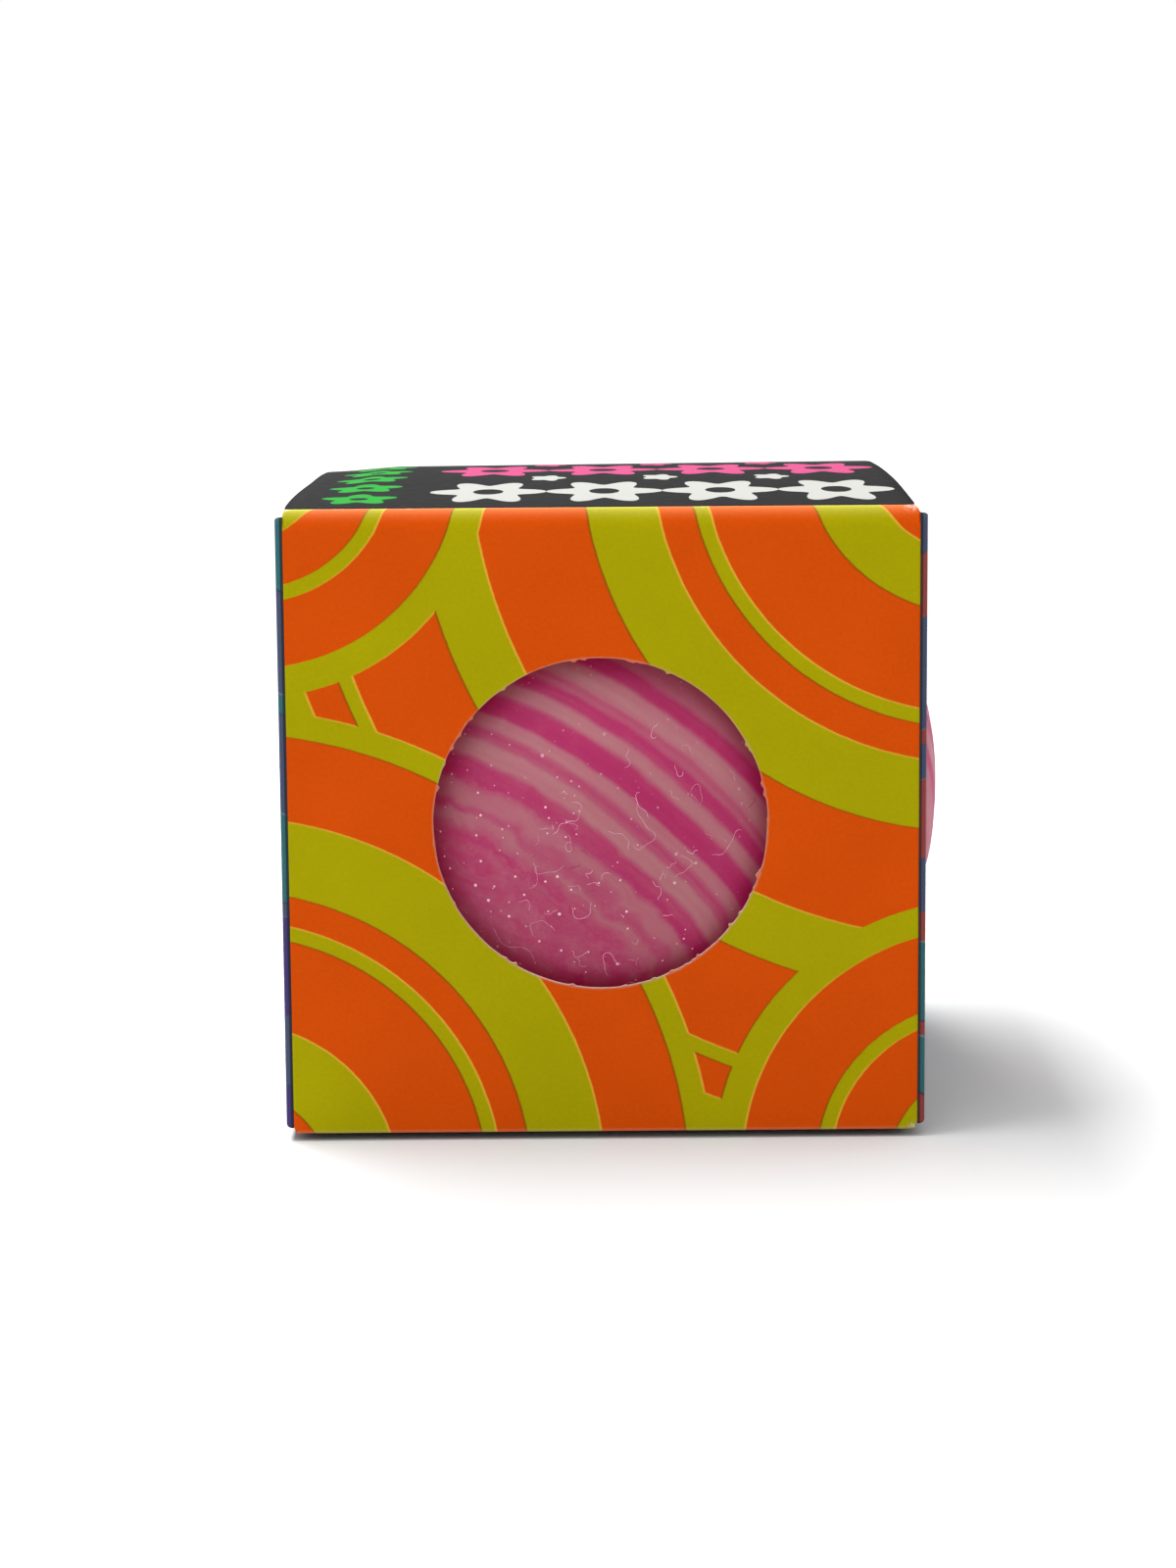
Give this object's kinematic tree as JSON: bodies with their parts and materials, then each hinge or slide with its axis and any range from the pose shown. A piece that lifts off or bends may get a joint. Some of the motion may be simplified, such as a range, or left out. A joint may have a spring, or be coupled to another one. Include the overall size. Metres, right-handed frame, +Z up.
{
  "type": "squeeze ball in a windowed carton",
  "caption": "Soft marbled squeeze ball packed in a small folding card carton; round windows in the front and right panels let it be seen and pressed, and the lid and base tuck in at the back.",
  "frame": {"origin": "middle of the carton's base, on the face that it stands on", "axes": "+Z up, -Y out of the pictured front window, +X out of the right window"},
  "size_m": [0.0686, 0.0668, 0.0643],
  "materials": {
    "card_orange": "satin print in orange and lime on folding boxboard",
    "card_blue": "satin print in blue, teal and purple on folding boxboard",
    "card_black": "satin black print on folding boxboard",
    "card_plain": "unprinted folding boxboard",
    "soft_skin": "tacky satin soft rubber, marbled pink and pale mauve",
    "dough": "soft dough",
    "soft_plug": "satin soft rubber"
  },
  "bodies": {
    "carton": {"front_panel": "card_orange", "right_panel": "card_blue", "back_panel": "card_orange", "left_panel": "card_blue", "glue_flap": "card_plain"},
    "ball": {"ball_skin": "soft_skin", "ball_filling": "dough", "fill_plug": "soft_plug"},
    "lid": {"lid_panel": "card_black"},
    "lid_tuck": {"lid_tuck_flap": "card_black"},
    "lid_dust_left": {"lid_dust_flap_left": "card_plain"},
    "lid_dust_right": {"lid_dust_flap_right": "card_plain"},
    "base": {"base_panel": "card_black"},
    "base_tuck": {"base_tuck_flap": "card_black"},
    "base_dust_left": {"base_dust_flap_left": "card_plain"},
    "base_dust_right": {"base_dust_flap_right": "card_plain"}
  },
  "joints": [
    {"name": "ball_lift", "type": "slide", "parent": "carton", "child": "ball", "axis": [-0.0549, 0.012, 0.9984], "range_m": [0, 0.066], "deforming": ["ball_skin"]},
    {"name": "lid_fold", "type": "hinge", "parent": "carton", "child": "lid", "pos_m": [0, -0.0315, 0.06365], "axis": [1, 0, 0], "range_deg": [0, 190]},
    {"name": "lid_tuck_fold", "type": "hinge", "parent": "lid", "child": "lid_tuck", "pos_m": [0, 0.0307, 0.06365], "axis": [1, 0, 0], "range_deg": [0, 48]},
    {"name": "lid_dust_left_fold", "type": "hinge", "parent": "carton", "child": "lid_dust_left", "pos_m": [-0.0315, 0, 0.06285], "axis": [0, -1, 0], "range_deg": [0, 200]},
    {"name": "lid_dust_right_fold", "type": "hinge", "parent": "carton", "child": "lid_dust_right", "pos_m": [0.0315, 0, 0.06285], "axis": [0, 1, 0], "range_deg": [0, 200]},
    {"name": "base_fold", "type": "hinge", "parent": "carton", "child": "base", "pos_m": [0, -0.0315, -0.00005], "axis": [-1, 0, 0], "range_deg": [0, 180]},
    {"name": "base_tuck_fold", "type": "hinge", "parent": "base", "child": "base_tuck", "pos_m": [0, 0.0307, -0.00005], "axis": [-1, 0, 0], "range_deg": [0, 46]},
    {"name": "base_dust_left_fold", "type": "hinge", "parent": "carton", "child": "base_dust_left", "pos_m": [-0.0315, 0, 0.00075], "axis": [0, 1, 0], "range_deg": [0, 163]},
    {"name": "base_dust_right_fold", "type": "hinge", "parent": "carton", "child": "base_dust_right", "pos_m": [0.0315, 0, 0.00075], "axis": [0, -1, 0], "range_deg": [0, 163]}
  ],
  "couplings": [
    {"joint": "lid_fold", "follows": "ball_lift", "rad_per_m": 50.2},
    {"joint": "lid_tuck_fold", "follows": "ball_lift", "rad_per_m": 12.55},
    {"joint": "lid_dust_left_fold", "follows": "ball_lift", "rad_per_m": 52.71},
    {"joint": "lid_dust_right_fold", "follows": "ball_lift", "rad_per_m": 52.71},
    {"joint": "base_tuck_fold", "follows": "base_fold", "ratio": 0.25},
    {"joint": "base_dust_left_fold", "follows": "base_fold", "ratio": 0.9},
    {"joint": "base_dust_right_fold", "follows": "base_fold", "ratio": 0.9}
  ]
}
